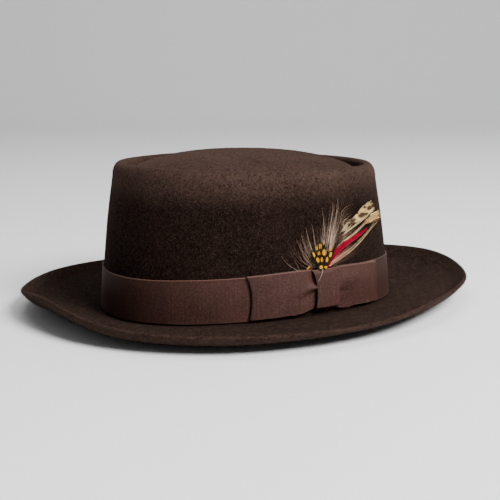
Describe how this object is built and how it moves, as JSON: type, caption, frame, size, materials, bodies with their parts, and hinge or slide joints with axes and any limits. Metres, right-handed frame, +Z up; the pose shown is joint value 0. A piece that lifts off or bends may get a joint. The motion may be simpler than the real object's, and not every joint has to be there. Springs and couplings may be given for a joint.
{
  "type": "porkpie hat",
  "caption": "Porkpie hat of wool felt: flat telescope crown, softly curled brim, ribbon band with a flat bow, and a feather trim on the wearer's left.",
  "frame": {"origin": "under the middle of the brim, on the surface that the hat rests on", "axes": "+X to the back of the hat, -Y to the wearer's left where the bow and feathers are, +Z up through the crown"},
  "size_m": [0.3197, 0.2836, 0.1071],
  "materials": {
    "felt": "matt wool felt",
    "ribbon": "grosgrain with a soft sheen",
    "hackle": "feather",
    "barred": "feather",
    "cream": "feather",
    "red": "dyed feather",
    "spotted": "feather with yellow spots"
  },
  "bodies": {
    "root": {"felt_body": "felt", "hat_band": "ribbon", "bow_loop_front": "ribbon", "bow_loop_back": "ribbon", "bow_knot": "ribbon", "feather_hackle": "hackle", "feather_barred": "barred", "feather_cream": "cream", "feather_red": "red", "feather_spotted": "spotted"}
  },
  "joints": []
}
